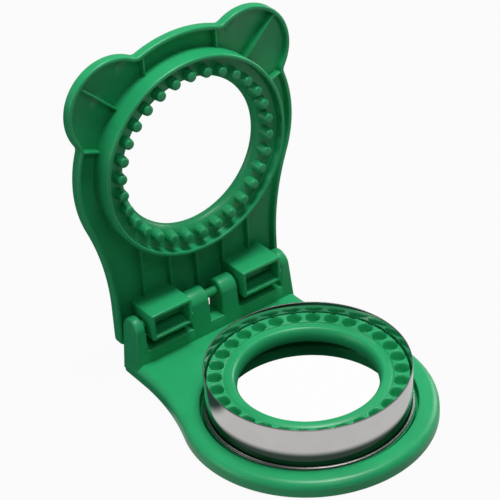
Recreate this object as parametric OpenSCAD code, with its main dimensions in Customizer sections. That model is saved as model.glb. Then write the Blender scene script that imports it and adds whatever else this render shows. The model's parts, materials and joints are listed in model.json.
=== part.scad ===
// Hand pie cutter: a round steel cutter in a base with crimping pockets, and a lid with two ears
// whose teeth press the crust. The lid stands open at rest and swings down on one long pin.
// Sizes are in millimetres. The base lies on z = 0, and X runs along the hinge.

/* [Cutter] */
// Outer radius of the steel cutting ring
cutter_r = 45; // [38:0.5:48]
// Sheet thickness of the cutting ring
cutter_wall = 0.5; // [0.4:0.1:0.8]
// Height of the cutting ring, from its foot to its edge
cutter_h = 20.5; // [16:0.5:24]
// How far the rolled foot of the ring stands out
foot_out = 0.85; // [0.5:0.05:1.1]
// Height of the rolled foot
foot_h = 0.9; // [0.6:0.1:1.4]

/* [Base] */
// Width of the deck round the cutter's well
deck_w = 9; // [8:0.1:12]
// Height of the base plate's top face
deck_h = 6.9; // [6:0.1:9]
// Half the width of the base and of the lid at the hinge
waist_w = 45.2; // [42:0.2:48]
// Radius of the hollow curve between the round end and the hinge
waist_curve_r = 120; // [90:5:180]
// Rounding of the plate's top edge
deck_round = 3.4; // [2:0.2:4]
// Rounding of the two corners behind the hinge, seen from above
base_corner_r = 2.6; // [2:0.2:4]
// Wall of the moulded base
base_wall = 2; // [1.6:0.1:2.4]
// Room between the cutter's foot and the wall of the well it stands in
well_gap = 1.65; // [1.4:0.05:3]
// Height of the seat under the cutter
seat_h = 5.6; // [4.4:0.1:6]
// Width of the gutter between the seat and the well's wall
gutter_w = 1.2; // [0.8:0.1:1.6]
// Floor of the gutter
gutter_floor = 1.6; // [1.2:0.1:2.4]
// Thickness of the stiffening ribs under the plate
under_rib = 1.4; // [1:0.1:2]
// Number of ribs under the round end
under_rib_count = 9; // [5:1:13]

/* [Pocket ring] */
// Gap between the cutter and the pocket ring inside it
crown_gap = 0.8; // [0.5:0.1:1.5]
// How far the pocket ring's top lies below the cutter's edge
crown_drop = 5; // [4:0.1:7]
// Wall of the pocket ring
crown_wall = 2; // [1.6:0.1:2.4]
// Width of the pocket ring, from its outside to the round opening
crown_w = 13; // [12.4:0.1:16]
// Rounding of the opening's lip
lip_round = 5.6; // [4:0.2:6.5]
// How far the smooth lip lies below the pocket ring's top
lip_drop = 0.5; // [0.2:0.1:1]
// Straight part of the lip below its rounding
lip_skirt = 0.6; // [0.3:0.1:2]
// Number of pockets, and of teeth in the lid
tooth_count = 30; // [24:2:34]
// How far the pockets' centres lie inside the pocket ring's outside
pocket_in = 3.4; // [3:0.1:4]
// Radius of one pocket
pocket_r = 2.6; // [2:0.1:2.8]
// Depth of a pocket
pocket_depth = 3.6; // [2:0.1:4.5]
// Height of the band that locates the cutter round the pocket ring's foot
band_h = 2.4; // [1.5:0.1:4]

/* [Hinge] */
// How far the hinge pin lies behind the round end's radius
pin_back = 16.3; // [15.6:0.1:20]
// How far the hinge pin lies below the cutter's edge
pin_drop = 2.2; // [1.6:0.1:2.6]
// Radius of the hinge pin
pin_r = 2.1; // [1.6:0.1:2.4]
// Rounding radius of the base's knuckles round the pin
knuckle_r = 5.6; // [4.6:0.1:6]
// Width of an outer knuckle at its foot
outer_knuckle_w = 8.3; // [7.4:0.1:9]
// How far an outer knuckle's sides lean in towards its top
knuckle_lean = 1.4; // [0.4:0.1:2]
// How much further forward a knuckle's foot stands than its top
knuckle_toe = 1; // [0.2:0.1:1.6]
// Half the gap between the two centre knuckles
centre_gap = 3.8; // [3:0.1:5]
// Outer face of a centre knuckle
centre_knuckle_out = 13.4; // [11:0.1:14]
// Height of the wall between the knuckles
hinge_wall_h = 12.6; // [10:0.1:13]
// Running clearance of the pin
pin_clear = 0.06; // [0.02:0.01:0.1]
// Blind wall left at the pin's hidden end
pin_end_wall = 2.4; // [1.6:0.1:3]
// Depth at which the pin's other end lies in its bore
pin_inset = 1.2; // [0.6:0.1:2]

/* [Lid] */
// How far the lid's round body stands out past the base's round end
lid_over = 0.9; // [0:0.1:2]
// How far an ear's side lies inside the side of the lid's round body
ear_in = 0.2; // [0:0.05:2]
// Direction of an ear, from the lid's side
ear_at = 46; // [41:1:49]
// Radius of an ear
ear_r = 23.4; // [20:0.1:25]
// Rounding of the notch between an ear and the body
notch_r = 3.5; // [2.5:0.5:6]
// Overhang of the lid past the pin, at its lower edge
lid_tail = 11.6; // [9:0.1:12]
// Rounding of the lid's two lower corners
lid_corner_r = 3; // [2.5:0.1:5]
// Thickness of the lid's plate
lid_plate = 2; // [1.6:0.1:2.4]
// Thickness of the lid's side wall
lid_wall = 2; // [1.6:0.1:2.4]
// Rounding of the lid's back edge
lid_round = 1.8; // [1:0.1:2]
// Distance from the pin to the lid's back face
lid_back = 11.2; // [10.6:0.1:12.5]
// Clearance between the cutter's edge and the lid's floor, when shut
edge_clear = 0.5; // [0.3:0.1:1.5]
// Clearance between the lid's rim and the cutter
rim_clear = 0.5; // [0.4:0.1:1]
// Wall of the lid's rim
rim_wall = 1.9; // [1.4:0.1:2.4]
// Depth of the rim, from its front edge to the floor
rim_depth = 4.4; // [3:0.1:5]
// How far the lid's round opening lies inside the tips of the teeth
lid_lip_in = 4.4; // [4:0.1:8]
// Rounding of the lid opening's lip
lid_lip_round = 4; // [3:0.1:4.5]
// Straight part of the lid's lip behind its rounding
lid_lip_skirt = 1.2; // [0.5:0.1:2]
// Thickness of the lid's floor
floor_wall = 2; // [1.6:0.1:2.4]
// How far the tips of the teeth lie inside the pockets' centres
tooth_in = 0.9; // [0:0.1:1.4]
// Height of a tooth above the floor
tooth_h = 3.9; // [2:0.1:4]
// Radius of a tooth, a round peg with a domed tip
tooth_r = 2.2; // [1.6:0.1:2.4]
// Thickness of the lid's ribs
lid_rib = 1.3; // [1:0.1:1.8]
// Height of the lid's ribs above its plate
lid_rib_h = 4.2; // [2.5:0.1:4.4]
// Distance of the notch ribs from the lid's middle line
notch_rib_at = 18.7; // [17.5:0.1:20]
// Spacing of the upright ribs above the hinge
hinge_rib_pitch = 14.6; // [12:0.1:15]
// Half the width of the cut-out in the lid's lower edge
tail_gap_w = 10; // [7:0.1:11]
// Height of that cut-out
tail_gap_h = 4.5; // [3:0.1:6]

/* [Box knuckles] */
// Distance from the pin to a box knuckle's mouth
box_front = 8.4; // [7:0.1:8.8]
// Distance from the pin up to a box knuckle's top face
box_top = 8.3; // [7:0.1:9]
// Distance from the pin down to a box knuckle's bottom face
box_bottom = 5.2; // [4.4:0.1:5.6]
// Walls round a box knuckle's mouth
box_wall = 1.8; // [1.4:0.1:2.2]
// Depth of a box knuckle's mouth
box_mouth = 5.4; // [3:0.1:5.6]
// Radius of the catch nub on a box knuckle's side
nub_r = 1.3; // [1:0.1:1.5]
// How far the catch nub stands out
nub_out = 0.8; // [0.5:0.1:0.9]
// Clearance between a catch nub and the knuckle beside it
nub_clear = 0.2; // [0.1:0.05:0.5]

/* [Fits] */
// Gap between an outer knuckle's back and the lid's wall that rests on it
stop_clear = 0.1; // [0.05:0.05:0.3]
// Gap between the pocket ring's locating band and the cutter
band_clear = 0.05; // [0.02:0.01:0.1]

/* [Hidden] */
$fn = 96;
eps = 0.01;

// Radii of the round pieces, from the cutter outwards and inwards
well_r = cutter_r + foot_out + well_gap;
base_r = well_r + deck_w;
lid_r = base_r + lid_over;
ear_offset = (lid_r - ear_in - ear_r) / cos(ear_at);
crown_r = cutter_r - cutter_wall - crown_gap;
base_open_r = crown_r - crown_w;
pocket_circle_r = crown_r - pocket_in;
tooth_circle_r = pocket_circle_r - tooth_in;
lid_open_r = tooth_circle_r - lid_lip_in;
// Levels that several pieces share
cutter_top = seat_h + cutter_h;
crown_top = cutter_top - crown_drop;
// The hinge, from one side to the other
pin_y = base_r + pin_back;
pin_z = cutter_top - pin_drop;
outer_knuckle_in = waist_w - outer_knuckle_w;
box_out = outer_knuckle_in - nub_out - nub_clear;
box_in = centre_knuckle_out + nub_out + nub_clear;
// Lid planes as distances in front of the pin, with the lid open, so y = pin_y - distance
floor_at = pin_z - (cutter_top + edge_clear);
rim_at = floor_at + rim_depth;
plate_at = lid_plate - lid_back;
// The lid's side wall ends where it rests on the backs of the outer knuckles
lid_depth = lid_back - knuckle_r - stop_clear;
rim_in_r = cutter_r + rim_clear;
rim_out_r = rim_in_r + rim_wall;
// Height of the lid's round centre above the base, with the lid open
lid_centre_z = pin_z + pin_y;
// The back of the knuckles, and the middle of the whole object from front to back
knuckle_back = pin_y + knuckle_r;
mid_y = (pin_y + lid_back - base_r) / 2;

// Points on an arc in n even steps, with both ends; first = 1 leaves out the point at a0
function arc(c, r, a0, a1, n, first = 0) =
    [for (i = [first:n]) let (a = a0 + (a1 - a0) * i / n) c + r * [cos(a), sin(a)]];

function flip(points) = [for (i = [len(points) - 1:-1:0]) [-points[i][0], points[i][1]]];

// The waist's curve touches the round end of radius r and the straight side
function waist_y(r) = sqrt(pow(r + waist_curve_r, 2) - pow(waist_w + waist_curve_r, 2));
function waist_angle(r) = atan2(waist_y(r), waist_w + waist_curve_r);

// Outline of the base, drawn in by d all round
function base_outline(d) =
    let (
        w = waist_angle(base_r),
        c = [waist_w + waist_curve_r, waist_y(base_r)],
        corner = [waist_w - base_corner_r, knuckle_back - base_corner_r],
        half = concat(
            arc([0, 0], base_r - d, -90, w, 30),
            arc(c, waist_curve_r + d, 180 + w, 180, 10, 1),
            arc(corner, max(base_corner_r - d, 0.05), 0, 90, 4)
        )
    )
    concat(half, [for (p = flip(half)) if (p[0] < -eps) p]);

// Outline of the lid, drawn in by d all round, with the lid's round centre at [0, 0]
function lid_outline(d) =
    let (
        w = waist_angle(lid_r),
        c = [waist_w + waist_curve_r, -waist_y(lid_r)],
        low = -(pin_y + lid_tail),
        corner = [waist_w - lid_corner_r, low + lid_corner_r],
        ear = ear_offset * [cos(ear_at), sin(ear_at)],
        a = lid_r + notch_r,
        b = ear_r + notch_r,
        at_body = acos((pow(ear_offset, 2) + a * a - b * b) / (2 * ear_offset * a)),
        at_ear = acos((pow(ear_offset, 2) + b * b - a * a) / (2 * ear_offset * b)),
        side_notch = a * [cos(ear_at - at_body), sin(ear_at - at_body)],
        top_notch = a * [cos(ear_at + at_body), sin(ear_at + at_body)],
        half = concat(
            arc(corner, max(lid_corner_r - d, 0.05), -90, 0, 4),
            arc(c, waist_curve_r + d, 180, 180 - w, 10),
            arc([0, 0], lid_r - d, -w, ear_at - at_body, 10, 1),
            arc(side_notch, notch_r + d, ear_at + 180 - at_body, ear_at + at_ear, 4, 1),
            arc(ear, ear_r - d, ear_at + at_ear - 180, ear_at + 180 - at_ear, 24, 1),
            arc(top_notch, notch_r + d, ear_at - at_ear, ear_at + at_body - 180, 4, 1),
            arc([0, 0], lid_r - d, ear_at + at_body, 90, 5, 1)
        )
    )
    concat(half, [for (p = flip(half)) if (p[0] < -eps) p]);

// A solid through a stack of sections, each with its own height and as many points. Every
// section can be seen whole from the Z axis, so a fan from the axis closes each end.
module loft(sections) {
    n = len(sections[0][1]);
    last = len(sections) - 1;
    rim = [for (s = sections) for (p = s[1]) [p[0], p[1], s[0]]];
    foot = len(rim);
    sides = [for (k = [0:last - 1]) for (i = [0:n - 1])
        let (j = (i + 1) % n)
        [k * n + i, (k + 1) * n + i, (k + 1) * n + j, k * n + j]];
    bottom = [for (i = [0:n - 1]) [foot, i, (i + 1) % n]];
    top = [for (i = [0:n - 1]) [foot + 1, last * n + (i + 1) % n, last * n + i]];
    polyhedron(
        concat(rim, [[0, 0, sections[0][0]], [0, 0, sections[last][0]]]),
        concat(bottom, sides, top),
        convexity = 6
    );
}

// Heights and insets of a rounded edge of radius r that ends at height h
function rounded_edge(h, r, steps) =
    [for (i = [0:steps]) let (a = 90 * i / steps) [h - r + r * sin(a), r * (1 - cos(a))]];

module centred() {
    translate([0, -mid_y, 0]) children();
}

// The lid's own frame: x along the hinge, y away from the hinge, z towards the cutter when shut
module lid_frame() {
    translate([0, pin_y, lid_centre_z]) rotate([90, 0, 0]) children();
}

module along_x(x0, x1) {
    translate([x0, 0, 0]) rotate([90, 0, 90]) linear_extrude(x1 - x0) children();
}

module ring(r_in, r_out, z0, z1) {
    rotate_extrude() translate([r_in, z0]) square([r_out - r_in, z1 - z0]);
}

// Side view of a knuckle: round over the pin, and a little wider at its foot in front
module knuckle_side() {
    translate([pin_y, pin_z]) circle(knuckle_r);
    polygon([
        [pin_y - knuckle_r - knuckle_toe, base_wall],
        [pin_y + knuckle_r, base_wall],
        [pin_y + knuckle_r, pin_z],
        [pin_y - knuckle_r, pin_z]
    ]);
}

// Front view of an outer knuckle, whose sides lean in towards its top
module outer_knuckle_front() {
    top = pin_z + knuckle_r;
    foot_out_x = waist_w;
    polygon([
        [outer_knuckle_in, base_wall],
        [foot_out_x, base_wall],
        [foot_out_x, deck_h],
        [foot_out_x - 2 * knuckle_lean, top],
        [outer_knuckle_in + knuckle_lean, top],
        [outer_knuckle_in, hinge_wall_h]
    ]);
}

module outer_knuckle() {
    intersection() {
        along_x(outer_knuckle_in, waist_w) knuckle_side();
        translate([0, pin_y + 2 * knuckle_r, 0]) rotate([90, 0, 0])
            linear_extrude(4 * knuckle_r) outer_knuckle_front();
    }
}

module centre_knuckle() {
    along_x(centre_gap, centre_knuckle_out) knuckle_side();
}

module pin_hole(x0, x1) {
    translate([x0, pin_y, pin_z]) rotate([0, 90, 0])
        cylinder(r = pin_r + pin_clear, h = x1 - x0);
}

// The base's plate with its skirt: from the hollow underneath, out and up over the top edge
module base_tray() {
    edge = rounded_edge(deck_h, deck_round, 5);
    loft(concat(
        [[deck_h - base_wall, base_outline(base_wall)], [0, base_outline(base_wall)]],
        [[0, base_outline(0.5)], [0.5, base_outline(0)]],
        [for (e = edge) [e[0], base_outline(e[1])]]
    ));
}

// The low block under the hinge, open underneath
module hinge_block() {
    half = waist_w - deck_round;
    difference() {
        translate([-half, pin_y - knuckle_r, base_wall])
            cube([2 * half, 2 * knuckle_r, hinge_wall_h - base_wall]);
        translate([base_wall - half, pin_y - knuckle_r + base_wall, -eps])
            cube([2 * (half - base_wall), 2 * (knuckle_r - base_wall), hinge_wall_h - base_wall]);
    }
}

module under_ribs() {
    reach = base_r - base_wall - well_r;
    for (i = [0:under_rib_count - 1]) {
        a = -180 + 180 * i / (under_rib_count - 1);
        rotate(a) translate([well_r + base_wall / 2, -under_rib / 2, base_wall])
            cube([reach, under_rib, deck_h - 1.5 * base_wall]);
    }
    for (x = [-2:2])
        translate([x * hinge_rib_pitch - under_rib / 2, well_r + base_wall / 2, base_wall])
            cube([under_rib, pin_y - knuckle_r - well_r, deck_h - 1.5 * base_wall]);
}

module base() {
    color("mediumseagreen") centred() difference() {
        union() {
            base_tray();
            cylinder(r = well_r + base_wall, h = deck_h - base_wall / 2);
            hinge_block();
            under_ribs();
            for (side = [0, 1]) mirror([side, 0, 0]) {
                outer_knuckle();
                centre_knuckle();
            }
        }
        // The well: a gutter round the cutter's seat, and the round opening inside the seat
        ring(well_r - gutter_w, well_r, gutter_floor, deck_h + 1);
        translate([0, 0, seat_h]) cylinder(r = well_r, h = deck_h);
        translate([0, 0, -1]) cylinder(r = crown_r - crown_wall, h = deck_h + 2);
        pin_hole(-waist_w + pin_end_wall, waist_w + 1);
    }
}

// Half section of the pocket ring, from its foot up over the top and down round the lip
module crown_section() {
    lip_top = crown_top - lip_drop;
    lip_c = [base_open_r + lip_round, lip_top - lip_round];
    foot = seat_h;
    inner = lip_round - crown_wall;
    polygon(concat(
        [
            [crown_r - crown_wall, foot],
            [cutter_r - cutter_wall - band_clear, foot],
            [cutter_r - cutter_wall - band_clear, foot + band_h],
            [crown_r, foot + band_h],
            [crown_r, crown_top - 0.6],
            [crown_r - 0.6, crown_top],
            [pocket_circle_r - pocket_r - 0.4, crown_top],
            [lip_c[0], lip_top]
        ],
        [for (i = [1:12]) lip_c + lip_round * [-sin(7.5 * i), cos(7.5 * i)]],
        [
            [base_open_r, lip_c[1] - lip_skirt],
            [base_open_r + crown_wall, lip_c[1] - lip_skirt]
        ],
        [for (i = [8:-1:0]) lip_c + inner * [-sin(11.25 * i), cos(11.25 * i)]],
        [[crown_r - crown_wall, lip_c[1] + inner]]
    ));
}

module pocket() {
    rotate_extrude() polygon([
        [0, -pocket_depth],
        [0.55 * pocket_r, -pocket_depth],
        [0.9 * pocket_r, -0.75 * pocket_depth],
        [pocket_r, -0.35 * pocket_depth],
        [pocket_r, eps],
        [pocket_r + 0.2, 1],
        [0, 1]
    ]);
}

module pocket_ring() {
    cup_r = pocket_r + 0.8 * crown_wall;
    color("seagreen") centred() difference() {
        union() {
            rotate_extrude() crown_section();
            // Material below the top in which the pockets are sunk
            ring(
                pocket_circle_r - cup_r + crown_wall / 2,
                crown_r - crown_wall / 2,
                crown_top - pocket_depth - crown_wall,
                crown_top - crown_wall
            );
        }
        for (i = [0:tooth_count - 1])
            rotate(i * 360 / tooth_count) translate([pocket_circle_r, 0, crown_top]) pocket();
    }
}

module cutter_ring() {
    inner = cutter_r - cutter_wall;
    color("gainsboro") centred() rotate_extrude() union() {
        translate([inner, seat_h]) square([cutter_wall, cutter_h]);
        // Rolled foot
        translate([inner, seat_h]) square([cutter_wall + foot_out, foot_h]);
    }
}

// Half section of the lid's rim, floor and lip, as distance from the middle and height
// in front of the pin
module lid_ring_section() {
    lip_c = [lid_open_r + lid_lip_round, floor_at - lid_lip_round];
    inner = lid_lip_round - floor_wall;
    back = floor_at - floor_wall;
    foot = plate_at - lid_plate / 2;
    polygon(concat(
        [
            [rim_out_r, foot],
            [rim_out_r, rim_at - 0.4],
            [rim_out_r - 0.4, rim_at],
            [rim_in_r + 0.4, rim_at],
            [rim_in_r, rim_at - 0.4],
            [rim_in_r, floor_at],
            [lip_c[0], floor_at]
        ],
        [for (i = [1:10]) lip_c + lid_lip_round * [-sin(9 * i), cos(9 * i)]],
        [
            [lid_open_r, lip_c[1] - lid_lip_skirt],
            [lid_open_r + floor_wall, lip_c[1] - lid_lip_skirt]
        ],
        [for (i = [5:-1:0]) lip_c + inner * [-sin(18 * i), cos(18 * i)]],
        [
            [rim_in_r, back],
            [rim_in_r, foot]
        ]
    ));
}

// One tooth: a round peg with a domed tip, which presses the crust over a pocket
module tooth() {
    tip = floor_at + tooth_h;
    root = floor_at - 0.8 * floor_wall;
    translate([tooth_circle_r, 0, 0]) rotate_extrude() polygon([
        [0, root],
        [tooth_r, root],
        [tooth_r, tip - 0.7 * tooth_r],
        [0.9 * tooth_r, tip - 0.35 * tooth_r],
        [0.65 * tooth_r, tip - 0.1 * tooth_r],
        [0.3 * tooth_r, tip],
        [0, tip]
    ]);
}

module teeth() {
    for (i = [0:tooth_count - 1]) rotate((i + 0.5) * 360 / tooth_count) tooth();
}

// The lid's plate with its side wall: up over the outside, then down inside to the plate
module lid_tray() {
    edge = rounded_edge(lid_round, lid_round, 4);
    translate([0, 0, -lid_back]) loft(concat(
        [for (i = [len(edge) - 1:-1:0]) [lid_round - edge[i][0], lid_outline(edge[i][1])]],
        [[lid_depth - 0.4, lid_outline(0)], [lid_depth, lid_outline(0.4)]],
        [[lid_depth, lid_outline(lid_wall)], [lid_plate, lid_outline(lid_wall)]]
    ));
}

module lid_shell() {
    difference() {
        lid_tray();
        translate([0, 0, -lid_back - 1]) cylinder(r = rim_in_r + 0.5, h = lid_depth + 2);
    }
}

// Ribs in the ears and notches, and upright ones above the hinge
module lid_ribs() {
    top = lid_rib_h;
    reach = rim_out_r - rim_wall / 2;
    ear_end = ear_offset + ear_r - lid_wall / 2;
    notch_y = sqrt(reach * reach - notch_rib_at * notch_rib_at);
    notch_end = sqrt(pow(lid_r - lid_wall / 2, 2) - notch_rib_at * notch_rib_at);
    for (side = [0, 1]) mirror([side, 0, 0]) {
        rotate(ear_at) translate([reach, -lid_rib / 2, 0])
            cube([ear_end - reach, lid_rib, top]);
        translate([notch_rib_at - lid_rib / 2, notch_y, 0])
            cube([lid_rib, notch_end - notch_y, top]);
        translate([notch_y, notch_rib_at - lid_rib / 2, 0])
            cube([notch_end - notch_y, lid_rib, top]);
    }
    for (i = [-2:2]) {
        x = i * hinge_rib_pitch;
        y = -sqrt(reach * reach - x * x);
        foot = i == 0 ? -(pin_y + lid_tail - tail_gap_h) : -(pin_y - box_top + lid_wall / 2);
        translate([x - lid_rib / 2, foot, 0]) cube([lid_rib, y - foot, top]);
    }
}

// One box knuckle: hollow at its mouth, and solid round the pin
module box_knuckle() {
    y0 = -(pin_y + box_bottom);
    y1 = -(pin_y - box_top);
    depth = box_front - plate_at;
    difference() {
        translate([box_in, y0, plate_at - lid_plate / 2])
            cube([box_out - box_in, y1 - y0, depth + lid_plate / 2]);
        translate([box_in + box_wall, y0 + box_wall, box_front - box_mouth])
            cube([box_out - box_in - 2 * box_wall, y1 - y0 - 2 * box_wall, box_mouth + 1]);
    }
}

// The catch nub beside a box knuckle's mouth, on the side towards +X
module nub(x) {
    sunk = box_wall / 2;
    translate([x - sunk, -(pin_y + box_bottom - nub_r - 0.4), box_front - nub_r - 0.4])
        rotate([0, 90, 0]) {
            cylinder(r = nub_r, h = sunk);
            translate([0, 0, sunk]) cylinder(r1 = nub_r, r2 = 0.6 * nub_r, h = nub_out);
        }
}

// Everything of the lid but its box knuckles
module lid_body() {
    low = -(pin_y + lid_tail);
    difference() {
        union() {
            lid_shell();
            rotate_extrude() lid_ring_section();
            teeth();
            translate([0, 0, plate_at - lid_plate / 2]) lid_ribs();
        }
        // Cut-out in the lower edge
        translate([-tail_gap_w, low - 1, -lid_back - 1])
            cube([2 * tail_gap_w, tail_gap_h + 1, lid_depth + 2]);
    }
}

module lid() {
    color("mediumseagreen") centred() lid_frame() difference() {
        union() {
            lid_body();
            box_knuckle();
            mirror([1, 0, 0]) box_knuckle();
            nub(box_out);
            nub(-box_in);
        }
        translate([-waist_w, -pin_y, 0]) rotate([0, 90, 0])
            cylinder(r = pin_r + pin_clear, h = 2 * waist_w);
    }
}

module hinge_pin() {
    x0 = -waist_w + pin_end_wall + pin_clear;
    x1 = waist_w - 2 * knuckle_lean - pin_inset;
    color("mediumseagreen") centred() translate([x0, pin_y, pin_z]) rotate([0, 90, 0]) {
        cylinder(r = pin_r, h = x1 - x0 - 0.6);
        translate([0, 0, x1 - x0 - 0.6]) cylinder(r1 = pin_r, r2 = pin_r - 0.5, h = 0.6);
    }
}

base();
pocket_ring();
cutter_ring();
lid();
hinge_pin();
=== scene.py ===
import json
import math

import bmesh
import bpy
from bpy.props import FloatProperty, FloatVectorProperty, IntProperty, PointerProperty
from mathutils import Matrix, Vector


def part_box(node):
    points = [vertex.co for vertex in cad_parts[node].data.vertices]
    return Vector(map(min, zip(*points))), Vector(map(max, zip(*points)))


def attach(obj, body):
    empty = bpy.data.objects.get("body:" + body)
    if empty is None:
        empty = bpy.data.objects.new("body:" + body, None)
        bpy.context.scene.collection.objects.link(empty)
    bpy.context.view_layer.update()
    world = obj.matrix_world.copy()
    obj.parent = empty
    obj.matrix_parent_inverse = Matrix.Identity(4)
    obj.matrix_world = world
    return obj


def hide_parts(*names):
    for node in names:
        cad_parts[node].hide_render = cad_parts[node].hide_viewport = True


bl_info = {
    "name": "Hand pie cutter",
    "version": (1, 0, 0),
    "blender": (4, 5, 0),
    "location": "3D View > Sidebar > Pie cutter",
    "description": "Models a hinged hand pie cutter round its fixed frame",
    "category": "Mesh",
}

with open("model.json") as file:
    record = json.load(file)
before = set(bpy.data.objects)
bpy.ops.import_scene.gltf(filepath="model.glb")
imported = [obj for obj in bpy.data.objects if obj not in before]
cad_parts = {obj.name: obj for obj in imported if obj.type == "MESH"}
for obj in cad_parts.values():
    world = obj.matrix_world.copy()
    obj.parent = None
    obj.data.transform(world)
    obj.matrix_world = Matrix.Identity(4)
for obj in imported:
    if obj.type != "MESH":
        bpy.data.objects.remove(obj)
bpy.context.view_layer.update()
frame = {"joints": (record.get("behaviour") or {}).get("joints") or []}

# Shapes are drawn in millimetres and placed in metres
MM = 0.001
PIN = Vector(frame["joints"][0]["pos_m"]) / MM
CUTTER_LOW, CUTTER_HIGH = (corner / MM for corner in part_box("cutter_ring"))
RING_Y = (CUTTER_LOW.y + CUTTER_HIGH.y) / 2
# The hinge pin, seen from the middle of the cutter
PIN_Y = PIN.y - RING_Y
PIN_Z = PIN.z
BASE_BODY = "base_body"
LID_BODY = "lid_body"
# From the pin to the skirt's back, and from the pin to the end of the lid's tail
SKIRT_BACK = 5.6
LID_TAIL = 11.6
# Radius of the holes for the pin
PIN_HOLE = 2.16
# From one upright rib to the next, in the lid and under the base
RIB_PITCH = 14.6
ON_BASE = Matrix.Scale(MM, 4) @ Matrix.Translation((0, RING_Y, 0))
# The lid is drawn flat, with its front up and the hinge towards -Y, and stood up here
ON_LID = (
    Matrix.Scale(MM, 4)
    @ Matrix.Translation((0, PIN.y, PIN_Z + PIN_Y))
    @ Matrix.Rotation(math.radians(90), 4, "X")
)


class PieBaseSizes(bpy.types.PropertyGroup):
    """Sizes of the base, in millimetres."""

    end_radius: FloatProperty(
        name="Round end", description="Radius of the base's round end", default=56.5, min=50, max=65
    )
    deck: FloatProperty(
        name="Deck", description="Height of the base's top face", default=6.9, min=5, max=9
    )
    edge: FloatProperty(
        name="Edge", description="Rounding of the deck's edge", default=3.8, min=1, max=5
    )
    waist: FloatProperty(
        name="Waist", description="Half width at the hinge", default=45.2, min=42, max=50
    )
    hollow: FloatProperty(
        name="Hollow", description="Radius of the curve at the waist", default=120, min=80, max=180
    )
    wall: FloatProperty(name="Wall", description="Wall of the mouldings", default=2, min=1, max=3)
    well: FloatProperty(
        name="Well", description="Radius of the well round the cutter", default=47.5,
        min=46.5, max=49,
    )
    pockets: IntProperty(
        name="Pockets", description="Number of pockets, and of teeth", default=30, min=20, max=36
    )
    pocket: FloatProperty(
        name="Pocket", description="Radius of a pocket at its top", default=3.65, min=2, max=4
    )


class PieLidSizes(bpy.types.PropertyGroup):
    """Sizes of the lid, in millimetres."""

    body: FloatProperty(
        name="Body", description="Radius of the lid's round body", default=57.4, min=50, max=60
    )
    ear: FloatProperty(name="Ear", description="Radius of an ear", default=22.9, min=15, max=25)
    ear_out: FloatProperty(
        name="Ear distance", description="Distance of an ear's centre", default=48.8, min=44, max=54
    )
    ear_at: FloatProperty(
        name="Ear angle", description="Angle of an ear above the side, in degrees", default=44.5,
        min=40, max=50,
    )
    notch: FloatProperty(
        name="Notch", description="Rounding beside an ear", default=3.5, min=3.2, max=6
    )
    depth: FloatProperty(
        name="Depth", description="Depth of the lid's side wall", default=5.5, min=4, max=8
    )
    back: FloatProperty(
        name="Back edge", description="Rounding of the back edge", default=1.8, min=1, max=3.2
    )
    rib: FloatProperty(name="Rib", description="Thickness of a rib", default=1.3, min=0.8, max=2)
    rib_height: FloatProperty(
        name="Rib height", description="Height of a rib above the plate", default=3.1, min=2, max=5
    )


class PieFinish(bpy.types.PropertyGroup):
    """Colours and gloss."""

    green: FloatVectorProperty(
        name="Plastic", description="Colour of the plastic", subtype="COLOR", size=3,
        default=(0.018, 0.36, 0.132), min=0, max=1,
    )
    gloss: FloatProperty(
        name="Gloss", description="Roughness of the plastic", default=0.36, min=0.1, max=0.9
    )
    steel: FloatVectorProperty(
        name="Steel", description="Colour of the cutter", subtype="COLOR", size=3,
        default=(0.60, 0.585, 0.58), min=0, max=1,
    )


class PieStage(bpy.types.PropertyGroup):
    """Where the camera stands, and how strong the light is."""

    azimuth: FloatProperty(
        name="Azimuth", description="Camera's angle round the object", subtype="ANGLE",
        default=math.radians(-35.353),
    )
    elevation: FloatProperty(
        name="Elevation", description="Camera's angle above the table", subtype="ANGLE",
        default=math.radians(33.914),
    )
    roll: FloatProperty(
        name="Roll", description="Camera's tilt", subtype="ANGLE", default=math.radians(-3.480)
    )
    distance: FloatProperty(
        name="Distance", description="From the camera to its target", subtype="DISTANCE",
        unit="LENGTH", default=0.806744, min=0.2,
    )
    lens: FloatProperty(
        name="Lens", description="Focal length in millimetres", default=126.0, min=20
    )
    lamps: FloatProperty(
        name="Lamps", description="Strength of the lamps", default=1.0, min=0, max=3
    )
    sky: FloatProperty(
        name="Surround", description="Strength of the light from all round", default=0.09,
        min=0, max=2,
    )


# ---- materials ----


class Wire:
    """An output socket. Arithmetic on it adds Math nodes, so that 1 - mask works."""

    def __init__(self, graph, socket):
        self.graph = graph
        self.socket = socket

    def _maths(self, operation, first, second):
        return self.graph.add("ShaderNodeMath", {"operation": operation}, {0: first, 1: second})

    def __add__(self, other):
        return self._maths("ADD", self, other)

    __radd__ = __add__

    def __sub__(self, other):
        return self._maths("SUBTRACT", self, other)

    def __rsub__(self, other):
        return self._maths("SUBTRACT", other, self)

    def __mul__(self, other):
        return self._maths("MULTIPLY", self, other)

    __rmul__ = __mul__

    def ramp(self, low, high):
        """0 below low, 1 above high, and smooth between."""
        return self.graph.add(
            "ShaderNodeMapRange",
            {"interpolation_type": "SMOOTHSTEP"},
            {0: self, 1: low, 2: high, 3: 0.0, 4: 1.0},
        )


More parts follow.
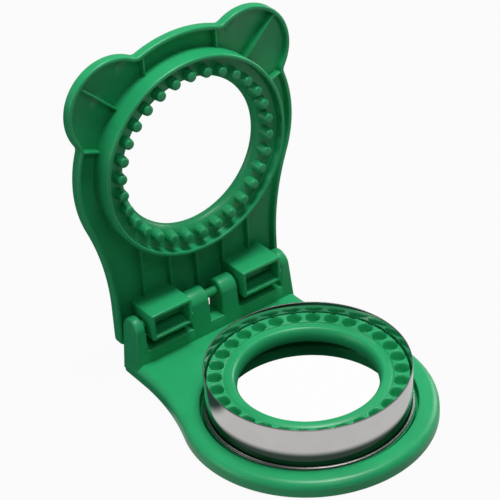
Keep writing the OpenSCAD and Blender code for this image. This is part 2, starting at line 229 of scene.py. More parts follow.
class Graph:
    """The nodes of a material or of the world."""

    def __init__(self, owner, output="ShaderNodeOutputMaterial"):
        self.owner = owner
        owner.use_nodes = True
        self.tree = owner.node_tree
        self.tree.nodes.clear()
        self.output = self.tree.nodes.new(output)

    def add(self, kind, settings=None, sockets=None, output=0):
        """Adds a node: its settings first, then the values or links of its sockets."""
        node = self.tree.nodes.new(kind)
        for key, value in (settings or {}).items():
            setattr(node, key, value)
        for key, value in (sockets or {}).items():
            if isinstance(value, Wire):
                self.tree.links.new(value.socket, node.inputs[key])
            else:
                node.inputs[key].default_value = value
        return Wire(self, node.outputs[output])

    def place(self):
        """Object coordinates."""
        return self.add("ShaderNodeTexCoord", output=3)

    def axis(self, where, number):
        """One of a place's three numbers."""
        return self.add("ShaderNodeSeparateXYZ", {}, {0: where}, output=number)

    def noise(self, where, scale, detail, rough):
        return self.add(
            "ShaderNodeTexNoise",
            {"noise_dimensions": "3D"},
            {"Vector": where, "Scale": scale, "Detail": detail, "Roughness": rough},
        )

    def blend(self, share, first, second):
        """Mixes two colours."""
        return self.add(
            "ShaderNodeMix", {"data_type": "RGBA"}, {0: share, 6: first, 7: second}, output=2
        )

    def finish(self, shader):
        self.tree.links.new(shader.socket, self.output.inputs["Surface"])
        return self.owner


def shade(colour, factor):
    return tuple(min(1.0, c * factor) for c in colour) + (1.0,)


def moulded_green(name, finish):
    """Satin polypropylene: a faint cloudiness, flow streaks, and the mould's fine grain."""
    graph = Graph(bpy.data.materials.new(name))
    where = graph.place()
    cloud = graph.noise(where, 35.0, 3.0, 0.55)
    stretched = graph.add(
        "ShaderNodeMapping", {"vector_type": "POINT"}, {0: where, 3: (60.0, 60.0, 320.0)}
    )
    streak = graph.noise(stretched, 1.0, 2.0, 0.6)
    grain = graph.noise(where, 3200.0, 2.0, 0.6)
    rub = graph.noise(where, 420.0, 4.0, 0.65)
    green = tuple(finish.green)
    share = cloud * 0.7 + streak * 0.3
    colour = graph.blend(share.ramp(0.35, 0.65), shade(green, 0.93), shade(green, 1.07))
    scuffs = rub.ramp(0.62, 0.78)
    scuffed = shade(tuple(c + 0.05 for c in green), 1.1)
    colour = graph.blend(scuffs * 0.10, colour, scuffed)
    rough = finish.gloss + (cloud - 0.5) * 0.10 + (rub - 0.5) * 0.08 + scuffs * 0.06
    dimples = graph.add(
        "ShaderNodeBump", {}, {"Strength": 0.22, "Distance": 0.00006, "Height": grain}
    )
    waves = graph.add(
        "ShaderNodeBump",
        {},
        {"Strength": 0.10, "Distance": 0.0006, "Height": cloud, "Normal": dimples},
    )
    return graph.finish(
        graph.add(
            "ShaderNodeBsdfPrincipled",
            {},
            {
                "Base Color": colour,
                "Roughness": rough,
                "Normal": waves,
                "IOR": 1.49,
                "Specular IOR Level": 0.35,
            },
        )
    )


def bright_steel(name, finish):
    """Mirror-polished sheet, with the faint lines that rolling leaves round the ring."""
    graph = Graph(bpy.data.materials.new(name))
    where = graph.place()
    rolled = graph.add(
        "ShaderNodeMapping", {"vector_type": "POINT"}, {0: where, 3: (25.0, 25.0, 5200.0)}
    )
    lines = graph.noise(rolled, 1.0, 2.0, 0.6)
    smear = graph.noise(where, 60.0, 3.0, 0.6)
    steel = tuple(finish.steel)
    colour = graph.blend(smear.ramp(0.3, 0.7), shade(steel, 0.97), shade(steel, 1.03))
    height = graph.axis(where, 2)

    def above(level, low, high):
        return height.ramp((level + low) * MM, (level + high) * MM)

    # Painted reflection: an even dark band in the colour round the foot, where the sheet faces the
    # gutter and mirrors it
    painted_reflection_band = (1 - above(CUTTER_LOW.z, 6.4, 9.6)) * above(CUTTER_LOW.z, 1.0, 1.3)
    colour = graph.blend(painted_reflection_band * 0.96, colour, (0.015, 0.04, 0.025, 1))
    # The cut edge at the top and the rolled foot are duller than the sheet
    dull = (1 - above(CUTTER_LOW.z, 0.9, 1.3)) + above(CUTTER_HIGH.z, -0.35, -0.2)
    colour = graph.blend(dull * 0.75, colour, (0.06, 0.065, 0.06, 1))
    rough = 0.085 + smear.ramp(0.45, 0.75) * 0.05 + (lines - 0.5) * 0.04 + dull * 0.3
    bump = graph.add(
        "ShaderNodeBump", {}, {"Strength": 0.05, "Distance": 0.00002, "Height": lines}
    )
    return graph.finish(
        graph.add(
            "ShaderNodeBsdfPrincipled",
            {},
            {"Base Color": colour, "Roughness": rough, "Normal": bump, "Metallic": 1.0},
        )
    )


# ---- drawing ----

# Fall across a flat that lies between two rings
SLOPE = 0.01
# Faces round a large opening
ROUND_STEPS = 256


def vertices(items):
    """The vertices among what an operator returns."""
    return [item for item in items if isinstance(item, bmesh.types.BMVert)]


def turn(bm, vert, centre, degrees, steps):
    """Carries a vertex round a centre and leaves an arc of edges behind it."""
    made = bmesh.ops.spin(
        bm,
        geom=[vert],
        cent=(centre[0], centre[1], vert.co.z),
        axis=(0, 0, 1),
        angle=math.radians(degrees),
        steps=steps,
    )
    return vertices(made["geom_last"])[0]


def run(bm, vert, x, y, steps=1):
    """Carries a vertex straight to a point and leaves edges behind it."""
    start, end = vert.co.copy(), Vector((x, y, vert.co.z))
    for i in range(1, steps + 1):
        vert = bmesh.ops.extrude_vert_indiv(bm, verts=[vert])["verts"][0]
        vert.co = start.lerp(end, i / steps)
    return vert


def waist_of(sizes, radius):
    """How far back, and at what angle, the waist's curve meets a round end of this radius."""
    far, near = radius + sizes.hollow, sizes.waist + sizes.hollow
    rise = math.sqrt(far * far - near * near)
    return rise, math.degrees(math.atan2(rise, near))


def doubled(bm, old):
    """Mirrors the half outline drawn since old was taken, and returns the closed ring's edges."""
    half = [e for e in bm.edges if e not in old]
    verts = list({v for e in half for v in e.verts})
    bmesh.ops.mirror(bm, geom=verts + half, matrix=Matrix.Identity(4), merge_dist=1e-3, axis="X")
    return [e for e in bm.edges if e not in old]


def base_ring(bm, sizes, inset, height):
    """The base's outline at a height, drawn in by inset."""
    old = set(bm.edges)
    rise, angle = waist_of(sizes, sizes.end_radius)
    back = PIN_Y + SKIRT_BACK
    corner = max(2.6 - inset, 0.05)
    vert = bm.verts.new((0, inset - sizes.end_radius, height))
    vert = turn(bm, vert, (0, 0), 90 + angle, 56)
    vert = turn(bm, vert, (sizes.waist + sizes.hollow, rise), -angle, 16)
    vert = run(bm, vert, sizes.waist - inset, back - inset - corner, 2)
    vert = turn(bm, vert, (vert.co.x - corner, vert.co.y), 90, 5)
    run(bm, vert, 0, vert.co.y, 6)
    return doubled(bm, old)


def lid_ring(bm, sizes, base, inset, height):
    """The lid's outline at a height, drawn in by inset."""
    old = set(bm.edges)
    rise, angle = waist_of(base, sizes.body)
    low = -(PIN_Y + LID_TAIL)
    gap_half, gap_high, inner, outer = 10.0, 4.5, 1.2, 3.1
    a, b, away = sizes.body + sizes.notch, sizes.ear + sizes.notch, sizes.ear_out
    at_body = math.degrees(math.acos((away**2 + a * a - b * b) / (2 * away * a)))
    at_ear = math.degrees(math.acos((away**2 + b * b - a * a) / (2 * away * b)))

    def spot(distance, degrees):
        return Vector((math.cos(math.radians(degrees)), math.sin(math.radians(degrees)))) * distance

    vert = bm.verts.new((0, low + gap_high + inset, height))
    vert = run(bm, vert, gap_half - inner, vert.co.y, 3)
    vert = turn(bm, vert, (gap_half - inner, low + gap_high - inner), -90, 4)
    vert = run(bm, vert, gap_half + inset, low + outer)
    vert = turn(bm, vert, (gap_half + outer, low + outer), 90, 5)
    vert = run(bm, vert, base.waist - outer, low + inset, 8)
    vert = turn(bm, vert, (base.waist - outer, low + outer), 90, 5)
    vert = run(bm, vert, base.waist - inset, -rise, 10)
    vert = turn(bm, vert, (base.waist + base.hollow, -rise), -angle, 16)
    ear = sizes.ear_at
    vert = turn(bm, vert, (0, 0), ear - at_body + angle, 18)
    vert = turn(bm, vert, spot(a, ear - at_body), at_ear + at_body - 180, 6)
    vert = turn(bm, vert, spot(away, ear), 360 - 2 * at_ear, 34)
    vert = turn(bm, vert, spot(a, ear + at_body), at_ear + at_body - 180, 6)
    turn(bm, vert, (0, 0), 90 - ear - at_body, 9)
    return doubled(bm, old)


def circle(bm, radius, height):
    """A level circle's edges."""
    old = set(bm.edges)
    bmesh.ops.create_circle(
        bm, segments=ROUND_STEPS, radius=radius, matrix=Matrix.Translation((0, 0, height))
    )
    return [e for e in bm.edges if e not in old]


def bridge(bm, rings):
    """Joins each ring to the next. No two lie quite level, or one may be joined back to front."""
    for near, far in zip(rings, rings[1:]):
        bmesh.ops.bridge_loops(bm, edges=near + far)


def fill(bm, edges):
    """Closes the flat between an outline and the circle inside it."""
    bmesh.ops.triangle_fill(bm, edges=edges, use_beauty=True)


def rounding(radius, steps):
    """(inset, drop) pairs round a quarter circle, from the flat to the side."""
    turns = [math.radians(90 * i / steps) for i in range(steps + 1)]
    return [(radius * (1 - math.sin(t)), radius * (1 - math.cos(t))) for t in turns]


def half_section(bm, points):
    """Draws a closed section from (x, z, rounding) points, with its corners rounded."""
    verts = [bm.verts.new((x, 0, z)) for x, z, _ in points]
    bm.faces.new(verts)
    for radius in sorted({p[2] for p in points if p[2]}):
        chosen = [v for v, p in zip(verts, points) if p[2] == radius]
        bmesh.ops.bevel(
            bm,
            geom=chosen,
            offset=radius,
            offset_type="OFFSET",
            segments=max(2, min(14, round(radius * 4))),
            profile=0.5,
            affect="VERTICES",
            material=-1,
            clamp_overlap=False,
        )
    bmesh.ops.delete(bm, geom=list(bm.faces), context="FACES_ONLY")


def revolve(bm, steps):
    """Turns all that is drawn once round the Z axis."""
    bmesh.ops.spin(
        bm,
        geom=list(bm.verts) + list(bm.edges),
        cent=(0, 0, 0),
        axis=(0, 0, 1),
        angle=math.radians(360),
        steps=steps,
        use_merge=True,
    )


def turned(points, steps):
    """A closed ring with this half section."""
    bm = bmesh.new()
    half_section(bm, points)
    revolve(bm, steps)
    bmesh.ops.recalc_face_normals(bm, faces=bm.faces)
    return bm


def soften(bm, width, segments=3, angle=30, chosen=None):
    """Bevels the edges that are sharper than angle."""
    edges = [
        e
        for e in (bm.edges if chosen is None else chosen)
        if len(e.link_faces) == 2 and e.calc_face_angle(0) > math.radians(angle)
    ]
    bmesh.ops.bevel(
        bm,
        geom=edges,
        offset=width,
        offset_type="OFFSET",
        segments=segments,
        profile=0.5,
        affect="EDGES",
        material=-1,
        clamp_overlap=True,
    )


def block(low, high):
    """A box between two corners."""
    low, high = Vector(low), Vector(high)
    bm = bmesh.new()
    size = Matrix.Diagonal((*(high - low), 1))
    bmesh.ops.create_cube(bm, size=1, matrix=Matrix.Translation((low + high) / 2) @ size)
    return bm


def as_object(bm, name):
    mesh = bpy.data.meshes.new(name)
    bm.to_mesh(mesh)
    thing = bpy.data.objects.new(name, mesh)
    bpy.context.scene.collection.objects.link(thing)
    return thing


def bore(bm, radius, x0, x1, y, z):
    """Cuts a round hole along X through a shape."""
    tool = bmesh.new()
    place = Matrix.Translation(((x0 + x1) / 2, y, z)) @ Matrix.Rotation(math.radians(90), 4, "Y")
    bmesh.ops.create_cone(
        tool, cap_ends=True, segments=48, radius1=radius, radius2=radius, depth=x1 - x0,
        matrix=place,
    )
    bmesh.ops.recalc_face_normals(bm, faces=bm.faces)
    body, drill = as_object(bm, "body"), as_object(tool, "drill")
    cut = body.modifiers.new("hole", "BOOLEAN")
    cut.operation, cut.solver, cut.object = "DIFFERENCE", "EXACT", drill
    done = body.evaluated_get(bpy.context.evaluated_depsgraph_get())
    bm.clear()
    bm.from_mesh(done.data)
    tool.free()
    for thing in (body, drill):
        mesh = thing.data
        bpy.data.objects.remove(thing)
        bpy.data.meshes.remove(mesh)
    return bm


def gather(parts):
    """Puts several shapes into one bmesh, and frees them."""
    whole = bmesh.new()
    for part in parts:
        bmesh.ops.recalc_face_normals(part, faces=part.faces)
        mesh = bpy.data.meshes.new("part")
        part.to_mesh(mesh)
        part.free()
        whole.from_mesh(mesh)
        bpy.data.meshes.remove(mesh)
    return whole


def piece(bm, name, place, body, node, material, sharp=32):
    """Makes the finished object that stands for a node of the frame."""
    bmesh.ops.transform(bm, matrix=place, verts=bm.verts)
    mesh = bpy.data.meshes.new(name)
    bm.to_mesh(mesh)
    bm.free()
    mesh.shade_smooth()
    mesh.set_sharp_from_angle(angle=math.radians(sharp))
    mesh.materials.append(material)
    thing = bpy.data.objects.new(name, mesh)
    bpy.context.scene.collection.objects.link(thing)
    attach(thing, body)
    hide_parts(node)


# ---- the base ----

# Height of the ledge that the crown stands on
SEAT = 5.6
# Above this height the sides of a knuckle lean
LEAN_FROM = 7.0


def base_shell(sizes):
    """The plate with its skirt, hollow underneath, and the well for the cutter."""
    bm = bmesh.new()
    deck, wall, foot = sizes.deck, sizes.wall, 0.5
    under = deck - wall
    rings = [base_ring(bm, sizes, d, deck - drop) for d, drop in rounding(sizes.edge, 9)]
    rings.append(base_ring(bm, sizes, 0, foot))
    # These three run upwards again, which leaves a small fold under the skirt's edge
    rings += [base_ring(bm, sizes, d, h) for h, d in rounding(foot, 3)[:3]][::-1]
    inner = [(wall - 0.3, SLOPE), (wall, 0.3)]
    inner += [(wall, under - 0.8), (wall + 0.3, under - 0.2), (wall + 0.8, under)]
    rings += [base_ring(bm, sizes, d, h) for d, h in inner]
    bridge(bm, rings)
    well, outer, gutter, opening = sizes.well, sizes.well + wall, 1.6, 39.3
    mouth = [circle(bm, well + d, deck - drop) for d, drop in rounding(0.6, 4)]
    steps = [
        (well, gutter + 0.4), (well - 0.4, gutter), (well - 0.9, gutter + SLOPE),
        (well - 1.2, gutter + 0.3), (well - 1.2, SEAT - 0.2), (well - 1.4, SEAT),
        (opening + 0.3, SEAT - SLOPE), (opening, SEAT - 0.3), (opening, 0.3), (opening + 0.3, 0),
        (outer - 0.3, SLOPE), (outer, 0.3), (outer, under - 0.8), (outer + 0.3, under - 0.2),
        (outer + 0.8, under),
    ]
    inside = [circle(bm, r, h) for r, h in steps]
    bridge(bm, mouth + inside)
    fill(bm, rings[0] + mouth[0])
    fill(bm, rings[-1] + inside[-1])
    bmesh.ops.remove_doubles(bm, verts=bm.verts, dist=0.002)
    return bm


def knuckle(x0, x1, lean_in, lean_out, blind=None):
    """A knuckle of the base: round over the pin, with a toe in front and leaning sides."""
    bm = bmesh.new()
    # Its back stands a hair inside the skirt's, so that no two faces coincide
    radius, toe, foot = SKIRT_BACK - 0.03, 1.0, 1.0
    points = [(-radius - toe, foot), (radius, foot), (radius, PIN_Z)]
    verts = [bm.verts.new((x0, PIN_Y + y, z)) for y, z in points]
    for pair in zip(verts, verts[1:]):
        bm.edges.new(pair)
    made = bmesh.ops.spin(
        bm,
        geom=[verts[-1]],
        cent=(x0, PIN_Y, PIN_Z),
        axis=(1, 0, 0),
        angle=math.radians(180),
        steps=24,
    )
    bm.edges.new((vertices(made["geom_last"])[0], verts[0]))
    side = bmesh.ops.edgeloop_fill(bm, edges=list(bm.edges))["faces"]
    far = bmesh.ops.extrude_face_region(bm, geom=side)["geom"]
    bmesh.ops.translate(bm, verts=vertices(far), vec=(x1 - x0, 0, 0))
    top = PIN_Z + radius
    for vert in bm.verts:
        share = max(0.0, (vert.co.z - LEAN_FROM) / (top - LEAN_FROM))
        vert.co.x += share * (lean_in if abs(vert.co.x - x0) < 0.01 else -lean_out)
    bmesh.ops.recalc_face_normals(bm, faces=bm.faces)
    rims = [e for e in bm.edges if any(len(f.verts) > 8 for f in e.link_faces)]
    soften(bm, 1.2, 5, 30, rims)
    bore(bm, PIN_HOLE, x0 - 2, blind or x1 + 2, PIN_Y, PIN_Z)
    return bm


def flipped(bm):
    """The same shape on the other side of the middle."""
    copy = bm.copy()
    bmesh.ops.scale(copy, vec=(-1, 1, 1), verts=copy.verts)
    bmesh.ops.reverse_faces(copy, faces=copy.faces)
    return copy


def hinge_block(sizes):
    """The low block that carries the knuckles, hollow underneath."""
    half, foot, top, lean, wall, hollow = sizes.waist - 3.6, 0.9, 13.0, 0.5, 2.0, 9.6
    bm = block((-half, PIN_Y - 6.5, foot), (half, PIN_Y + SKIRT_BACK - 0.06, top))
    for vert in bm.verts:
        if vert.co.z > foot + 1 and vert.co.y < PIN_Y:
            vert.co.y += lean
    under = [f for f in bm.faces if f.normal.z < -0.9]
    bmesh.ops.inset_region(bm, faces=under, thickness=wall)
    bmesh.ops.inset_region(bm, faces=under, thickness=0.05, depth=-hollow)
    bmesh.ops.recalc_face_normals(bm, faces=bm.faces)
    soften(bm, 0.7, 3)
    return bm


def under_rib(sizes, place, x0, x1):
    """A low rib between the skirt and the wall of the well, drawn along X."""
    half, foot, top = 0.7, 1.9, sizes.deck - 1.0
    bm = block((x0, -half, foot), (x1, half, top))
    bmesh.ops.transform(bm, matrix=place, verts=bm.verts)
    return bm


class PIECUTTER_OT_base(bpy.types.Operator):
    """Models the base with its hinge block and knuckles"""

    bl_idname = "piecutter.base"
    bl_label = "Base"

    def execute(self, context):
        scene = context.scene
        sizes = scene.pie_base
        # The pin goes in from the right, and its bore ends inside the left knuckle
        pin_end = -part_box("hinge_pin")[0].x / MM + 0.1
        outer_knuckle = (36.9, sizes.waist, 1.4, 2.6)
        parts = [base_shell(sizes), hinge_block(sizes)]
        parts += [flipped(knuckle(*outer_knuckle, pin_end)), flipped(knuckle(2.3, 13.4, 0.8, 0.3))]
        parts += [knuckle(3.6, 13.4, 0.5, 0.3), knuckle(*outer_knuckle)]
        inner, reach = sizes.well + 1.0, sizes.end_radius - 1.0
        for i in range(9):
            spoke = Matrix.Rotation(math.radians(-180 + 22.5 * i), 4, "Z")
            parts.append(under_rib(sizes, spoke, inner, reach))
        for i in range(-2, 3):
            along = Matrix.Translation((i * RIB_PITCH, 0, 0))
            along = along @ Matrix.Rotation(math.radians(90), 4, "Z")
            parts.append(under_rib(sizes, along, inner, PIN_Y - 5.0))
        piece(
            gather(parts), "base_moulding", ON_BASE, BASE_BODY, "base",
            moulded_green("green_base", scene.pie_finish),
        )
        return {"FINISHED"}


def press_pocket(bm, sizes, top):
    """Sinks one round pocket with soft edges into the crown's top, where it crosses the X axis."""
    middle, depth, floor = 40.3, 4.9, 1.9
    for vert in bm.verts:
        if vert.co.z < top - 1.8 or vert.co.x < 36:
            continue
        share = (math.hypot(vert.co.x - middle, vert.co.y) - floor) / (sizes.pocket - floor)
        share = min(1.0, max(0.0, share))
        vert.co.z -= depth * (1 - share * share * (3 - 2 * share))


def around(bm, count):
    """Repeats all that is drawn round the Z axis."""
    bmesh.ops.spin(
        bm,
        geom=list(bm.verts) + list(bm.edges) + list(bm.faces),
        cent=(0, 0, 0),
        axis=(0, 0, 1),
        angle=math.radians(360 - 360 / count),
        steps=count - 1,
        use_duplicate=True,
    )


class PIECUTTER_OT_pocket_ring(bpy.types.Operator):
    """Models the crown with its ring of pockets"""

    bl_idname = "piecutter.pocket_ring"
    bl_label = "Pocket ring"

    def execute(self, context):
        scene = context.scene
        sizes = scene.pie_base
        bm = bmesh.new()
        top, lip, fineness = 21.1, 20.6, 26
        half_section(
            bm,
            [
                (41.7, SEAT, 0.3), (44.45, SEAT, 0.2), (44.45, 8.0, 0.2), (43.7, 8.4, 0),
                (43.7, top, 0.3), (37.0, top, 0.35), (36.6, 20.2, 0.15), (34.6, lip + 0.5, 1.6),
                (30.7, lip, 4.6), (30.7, 14.4, 0.5), (32.7, 14.4, 0.3), (32.7, 18.6, 3.2),
                (37.0, 17.6, 0), (37.2, 15.6, 0), (41.7, 15.6, 0.5),
            ],
        )
        flat = [
            e for e in bm.edges
            if min(v.co.z for v in e.verts) > top - 0.02 and e.calc_length() > 3
        ]
        bmesh.ops.subdivide_edges(bm, edges=flat, cuts=fineness)
        # One share of the ring, with a pocket in its middle
        share = math.radians(360 / sizes.pockets)
        bmesh.ops.rotate(
            bm, cent=(0, 0, 0), matrix=Matrix.Rotation(-share / 2, 3, "Z"), verts=bm.verts
        )
        bmesh.ops.spin(
            bm, geom=list(bm.verts) + list(bm.edges), cent=(0, 0, 0), axis=(0, 0, 1),
            angle=share, steps=fineness,
        )
        press_pocket(bm, sizes, top)
        around(bm, sizes.pockets)
        bmesh.ops.remove_doubles(bm, verts=bm.verts, dist=0.005)
        bmesh.ops.recalc_face_normals(bm, faces=bm.faces)
        piece(
            bm, "pocket_crown", ON_BASE, BASE_BODY, "pocket_ring",
            moulded_green("green_crown", scene.pie_finish), sharp=60,
        )
        return {"FINISHED"}


class PIECUTTER_OT_cutter(bpy.types.Operator):
    """Models the steel cutting ring with its rolled foot"""

    bl_idname = "piecutter.cutter"
    bl_label = "Cutter"

    def execute(self, context):
        foot, top = CUTTER_LOW.z, CUTTER_HIGH.z
        ring = turned(
            [
                (44.5, foot, 0.1), (45.85, foot, 0.42), (45.85, foot + 0.9, 0.42),
                (45.0, foot + 0.9, 0.3), (45.0, top, 0.12), (44.5, top, 0.12),
            ],
            360,
        )
        piece(
            ring, "steel_cutter", ON_BASE, BASE_BODY, "cutter_ring",
            bright_steel("polished_steel", context.scene.pie_finish), sharp=50,
        )
        return {"FINISHED"}


class PIECUTTER_OT_pin(bpy.types.Operator):
    """Models the hinge pin"""

    bl_idname = "piecutter.pin"
    bl_label = "Hinge pin"

    def execute(self, context):
        low, high = (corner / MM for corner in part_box("hinge_pin"))
        radius = (high.z - low.z) / 2
        rod = bmesh.new()
        lying = Matrix.Translation(((low.x + high.x) / 2, PIN_Y, PIN_Z))
        lying = lying @ Matrix.Rotation(math.radians(90), 4, "Y")
        bmesh.ops.create_cone(
            rod, cap_ends=True, segments=64, radius1=radius, radius2=radius,
            depth=high.x - low.x, matrix=lying,
        )
        soften(rod, 0.5, 3, 60)
        piece(
            rod, "pin_rod", ON_BASE, BASE_BODY, "hinge_pin",
            moulded_green("green_pin", context.scene.pie_finish),
        )
        return {"FINISHED"}


# ---- the lid ----

# Heights in the lid's own frame, in front of the pin
LID_BACK = -11.2
LID_PLATE = -9.2
LID_FLOOR = -2.7
LID_RIM = 1.7
# Radius of the plate's hole, whose edge lies inside the toothed ring's wall
LID_HOLE = 46.5
# The two sides of a box knuckle, from the middle
BOX_IN, BOX_OUT = 14.4, 36.0


def lid_shell(sizes, base):
    """The lid's plate with its side wall and the wall's rounded front edge."""
    bm = bmesh.new()
    wall, front = base.wall, LID_BACK + sizes.depth
    path = [(d, LID_BACK + rise) for d, rise in rounding(sizes.back, 7)]
    path += [(d, front - drop) for d, drop in rounding(0.9, 5)[::-1]]
    path += [(wall - 0.5, front - SLOPE), (wall - 0.15, front - 0.15), (wall, front - 0.5)]
    path += [(wall, LID_PLATE + 0.8), (wall + 0.25, LID_PLATE + 0.25), (wall + 0.8, LID_PLATE)]
    rings = [lid_ring(bm, sizes, base, d, z) for d, z in path]
    bridge(bm, rings)
    hole = [circle(bm, LID_HOLE, z) for z in (LID_BACK, LID_PLATE)]
    bridge(bm, hole)
    fill(bm, rings[0] + hole[0])
    fill(bm, rings[-1] + hole[1])
    bmesh.ops.remove_doubles(bm, verts=bm.verts, dist=0.002)
    return bm


def lid_rib(sizes, start, end):
    """A rib that stands on the plate from start to end, and is thinner at its top."""
    start, end = Vector(start), Vector(end)
    along, half = end - start, sizes.rib / 2
    top = LID_PLATE + sizes.rib_height
    bm = block((0, -half, LID_PLATE - 1), (along.length, half, top))
    for vert in bm.verts:
        if vert.co.z > LID_PLATE:
            vert.co.y *= 0.72
    soften(bm, 0.22, 2)
    place = Matrix.Translation((start.x, start.y, 0))
    place = place @ Matrix.Rotation(math.atan2(along.y, along.x), 4, "Z")
    bmesh.ops.transform(bm, matrix=place, verts=bm.verts)
    return bm


def lid_ribs(sizes):
    """Ribs in the ears and beside them, and upright ones above the hinge."""
    parts = []
    # A rib starts inside the ring's wall and ends inside the lid's
    reach, into_wall, notch_at = 46.6, 1.2, 18.7
    for side in (-1, 1):
        ear_at = math.radians(sizes.ear_at)
        ear = Vector((side * math.cos(ear_at), math.sin(ear_at)))
        parts.append(lid_rib(sizes, ear * reach, ear * (sizes.ear_out + sizes.ear - into_wall)))
        far = math.sqrt((sizes.body - into_wall) ** 2 - notch_at * notch_at)
        near = math.sqrt(reach * reach - notch_at * notch_at)
        parts.append(lid_rib(sizes, (side * notch_at, near), (side * notch_at, far)))
        across = Vector((side * 0.936, 0.352))
        parts.append(lid_rib(sizes, across * reach, across * (sizes.body - into_wall)))
    for i in range(-2, 3):
        x = i * RIB_PITCH
        foot = -(PIN_Y + LID_TAIL - 5.5) if i == 0 else -(PIN_Y - 7.5)
        parts.append(lid_rib(sizes, (x, -math.sqrt(reach * reach - x * x)), (x, foot)))
    return parts


def toothed_ring():
    """The ring that closes over the cutter: an outer wall, a rim and the floor of the teeth."""
    # Its back stands a hair inside the plate's, so that no two faces coincide
    back, lip, under = LID_BACK + 0.04, -7.9, LID_FLOOR - 2
    inner, outer, opening, sleeve = 45.5, 47.4, 35, 37
    return turned(
        [
            (inner, back, 0.6), (outer, back, 0), (outer, LID_RIM, 0.8), (inner, LID_RIM, 0.5),
            (inner, LID_FLOOR, 0.8), (opening, LID_FLOOR, 4.2), (opening, lip, 0.5),
            (sleeve, lip, 0.5), (sleeve, under, 2), (inner, under, 0.8),
        ],
        ROUND_STEPS,
    )


def teeth(count):
    """Round pegs with softened tips, spaced evenly round the opening."""
    bm = bmesh.new()
    root, tip, out = LID_FLOOR - 1.6, LID_FLOOR + 4.3, 39.1
    bmesh.ops.create_cone(
        bm, cap_ends=True, segments=28, radius1=2.9, radius2=2.25, depth=tip - root,
        matrix=Matrix.Translation((0, out, (tip + root) / 2)),
    )
    crown = [e for e in bm.edges if min(v.co.z for v in e.verts) > tip - 0.01]
    soften(bm, 0.9, 4, 30, crown)
    around(bm, count)
    return bm


def ejector_mark(x, y):
    """The faint round mark that a pin of the mould leaves on the plate."""
    bm = bmesh.new()
    place = Matrix.Translation((x, y, LID_PLATE - 0.45))
    bmesh.ops.create_cone(
        bm, cap_ends=True, segments=40, radius1=3.3, radius2=3.3, depth=1.2, matrix=place
    )
    soften(bm, 0.12, 2, 60)
    return bm


def box_knuckle():
    """The lid's box-shaped knuckle: hollow from its mouth to behind the pin."""
    below, above, front, wall, roll = 5.2, 8.3, 8.4, 1.2, 0.25
    bm = block((BOX_IN, -PIN_Y - below, LID_PLATE - 1), (BOX_OUT, -PIN_Y + above, front))
    soften(bm, 0.7, 4)
    mouth = [f for f in bm.faces if f.normal.z > 0.99]
    for inset, sink in ((wall, 0), (roll, 0.3), (roll, 12.2)):
        bmesh.ops.inset_region(bm, faces=mouth, thickness=inset, depth=-sink)
    bmesh.ops.recalc_face_normals(bm, faces=bm.faces)
    return bore(bm, PIN_HOLE, BOX_IN - 1, BOX_OUT + 1, -PIN_Y, 0)


def nub(x):
    """The ridge on the right side of a box knuckle, with a small catch at its lower end."""
    ridge = block((x - 0.4, -PIN_Y - 1.0, 5.6), (x + 0.75, -PIN_Y + 7.2, 7.4))
    soften(ridge, 0.35, 3)
    catch = bmesh.new()
    place = Matrix.Translation((x, -PIN_Y - 0.6, 6.9)) @ Matrix.Rotation(math.radians(90), 4, "Y")
    bmesh.ops.create_uvsphere(
        catch, u_segments=20, v_segments=12, radius=1.35,
        matrix=place @ Matrix.Diagonal((1, 1, 0.65, 1)),
    )
    return gather([ridge, catch])


class PIECUTTER_OT_lid(bpy.types.Operator):
    """Models the lid with its ears, ribs, toothed ring and box knuckles"""

    bl_idname = "piecutter.lid"
    bl_label = "Lid"

    def execute(self, context):
        scene = context.scene
        sizes, base = scene.pie_lid, scene.pie_base
        marks = ((28.3, 49.6), (41.7, 38.6))
        right = box_knuckle()
        left = flipped(right)
        parts = [lid_shell(sizes, base), toothed_ring(), teeth(base.pockets), right, left]
        parts += lid_ribs(sizes) + [nub(BOX_OUT), nub(-BOX_IN)]
        for side in (-1, 1):
            parts += [ejector_mark(side * x, y) for x, y in marks]
        piece(
            gather(parts), "lid_moulding", ON_LID, LID_BODY, "lid",
            moulded_green("green_lid", scene.pie_finish),
        )
        return {"FINISHED"}


# ---- the stage ----


def lamp(name, place, aim, size, power):
    """A round lamp that faces a point."""
    data = bpy.data.lights.new(name, "AREA")
    data.shape, data.size, data.energy = "DISK", size, power
    thing = bpy.data.objects.new(name, data)
    thing.location = place
    thing.rotation_euler = (Vector(aim) - Vector(place)).to_track_quat("-Z", "Y").to_euler()
    bpy.context.scene.collection.objects.link(thing)


def white_floor():
    """White to the eye with a shadow; dimmer in reflections; painted shade under the object and
    behind the hinge.
    """
    graph = Graph(bpy.data.materials.new("white_floor"))
    seen = graph.add("ShaderNodeLightPath", output="Is Camera Ray")
    glossy = graph.add("ShaderNodeLightPath", output="Is Glossy Ray")
    through = graph.add("ShaderNodeLightPath", output="Is Transmission Ray")
    where = graph.place()
    centre = (0.0, RING_Y * MM, 0.0)
    away = graph.add("ShaderNodeVectorMath", {"operation": "DISTANCE"}, {0: where, 1: centre}, 1)
    # Painted shade under the object: there the paint that light bounces off is near black
    outside_painted_shade = away.ramp(0.036, 0.060)
    colour = graph.blend(outside_painted_shade, (0.02, 0.02, 0.02, 1), (0.30, 0.30, 0.30, 1))
    paint = graph.add("ShaderNodeBsdfDiffuse", {}, {"Color": colour})
    # Painted shade in reflections: under the object, and where the white ends before the hinge,
    # reflections see dark green, so that the hinge's slots stay dark
    lit = outside_painted_shade * (1 - graph.axis(where, 1).ramp(0.020, 0.032)) * 0.76
    white = graph.blend(seen + (1 - seen) * lit, (0.03, 0.07, 0.055, 1), (1, 1, 1, 1))
    glow = graph.add("ShaderNodeEmission", {}, {"Color": white, "Strength": 1.0})
    # Painted light: to the eye a little more of the floor glows white under the object, which
    # lightens the shadow seen through the opening
    share = seen * (0.945 + (1 - outside_painted_shade) * 0.04) + (glossy + through)
    return graph.finish(graph.add("ShaderNodeMixShader", {}, {0: share, 1: paint, 2: glow}))


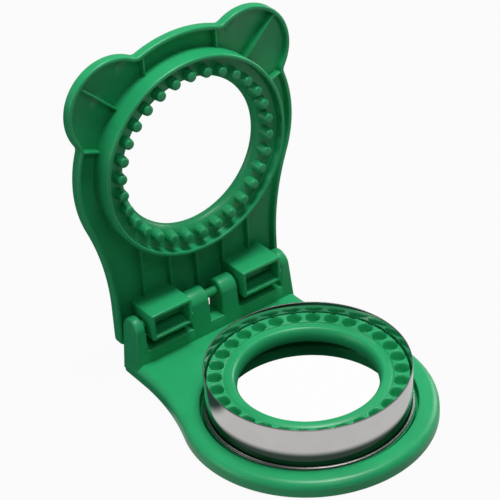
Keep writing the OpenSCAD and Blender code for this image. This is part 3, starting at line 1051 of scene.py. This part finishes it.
def surround(strength):
    """The world: white to the eye, weaker in reflections, and faint as a light."""
    graph = Graph(bpy.data.worlds.new("surround"), "ShaderNodeOutputWorld")
    seen = graph.add("ShaderNodeLightPath", output="Is Camera Ray")
    glossy = graph.add("ShaderNodeLightPath", output="Is Glossy Ray")
    level = graph.add(
        "ShaderNodeMapRange", {},
        {"Value": glossy * 0.23 + seen, "To Min": strength, "To Max": 1.0},
    )
    sky = graph.add("ShaderNodeBackground", {}, {"Color": (1, 1, 1, 1), "Strength": level})
    return graph.finish(sky)


class PIECUTTER_OT_stage(bpy.types.Operator):
    """Sets up the camera, the lamps and the white floor"""

    bl_idname = "piecutter.stage"
    bl_label = "Stage"

    def execute(self, context):
        scene = context.scene
        look = scene.pie_stage
        a, e, r = look.azimuth, look.elevation, look.roll
        back = Vector((math.sin(a) * math.cos(e), -math.cos(a) * math.cos(e), math.sin(e)))
        level = Vector((math.cos(a), math.sin(a), 0))
        above = back.cross(level)
        right = level * math.cos(r) + above * math.sin(r)
        up = above * math.cos(r) - level * math.sin(r)
        target = Vector((0.026457, 0.060943, 0.034831))
        data = bpy.data.cameras.new("camera")
        data.lens, data.sensor_width, data.sensor_fit = look.lens, 36.0, "HORIZONTAL"
        data.clip_start, data.clip_end = 0.05, 10.0
        camera = bpy.data.objects.new("camera", data)
        turnout = Matrix((right, up, back)).transposed().to_4x4()
        camera.matrix_world = Matrix.Translation(target + back * look.distance) @ turnout
        scene.collection.objects.link(camera)
        scene.camera = camera

        bm = bmesh.new()
        bmesh.ops.create_grid(
            bm, x_segments=1, y_segments=1, size=3, matrix=Matrix.Translation((0, 0, -0.0003))
        )
        floor = as_object(bm, "floor")
        floor.data.materials.append(white_floor())
        bm.free()

        middle = (0.0, 0.02, 0.05)
        strength = look.lamps
        lamp("overhead", (0.12, -0.02, 1.00), middle, 0.32, 8.0 * strength)
        lamp("high_front", (-0.15, -0.60, 0.90), middle, 0.35, 1.2 * strength)
        lamp("right_side", (0.95, 0.15, 0.35), middle, 0.5, 3.4 * strength)
        lamp("left_side", (-0.92, 0.30, 0.40), middle, 0.6, 2.0 * strength)

        scene.world = surround(look.sky)
        scene.view_settings.view_transform = "Standard"
        return {"FINISHED"}


class PIECUTTER_PT_panel(bpy.types.Panel):
    """Lists the pieces of the pie cutter"""

    bl_idname = "PIECUTTER_PT_panel"
    bl_label = "Pie cutter"
    bl_space_type = "VIEW_3D"
    bl_region_type = "UI"
    bl_category = "Pie cutter"

    def draw(self, context):
        layout = self.layout
        for group in ("pie_base", "pie_lid", "pie_finish", "pie_stage"):
            sizes = getattr(context.scene, group)
            box = layout.box()
            for key in sizes.__annotations__:
                box.prop(sizes, key)
        for step in STEPS:
            layout.operator(step.bl_idname)


GROUPS = {
    "pie_base": PieBaseSizes,
    "pie_lid": PieLidSizes,
    "pie_finish": PieFinish,
    "pie_stage": PieStage,
}
STEPS = (
    PIECUTTER_OT_stage,
    PIECUTTER_OT_base,
    PIECUTTER_OT_pocket_ring,
    PIECUTTER_OT_cutter,
    PIECUTTER_OT_pin,
    PIECUTTER_OT_lid,
)


def register():
    for cls in (*GROUPS.values(), *STEPS, PIECUTTER_PT_panel):
        bpy.utils.register_class(cls)
    for name, cls in GROUPS.items():
        setattr(bpy.types.Scene, name, PointerProperty(type=cls))


def unregister():
    for name in GROUPS:
        delattr(bpy.types.Scene, name)
    for cls in (PIECUTTER_PT_panel, *reversed(STEPS), *reversed(GROUPS.values())):
        bpy.utils.unregister_class(cls)


def main():
    register()
    for step in STEPS:
        group, name = step.bl_idname.split(".")
        getattr(getattr(bpy.ops, group), name)()


if __name__ == "__main__":
    main()
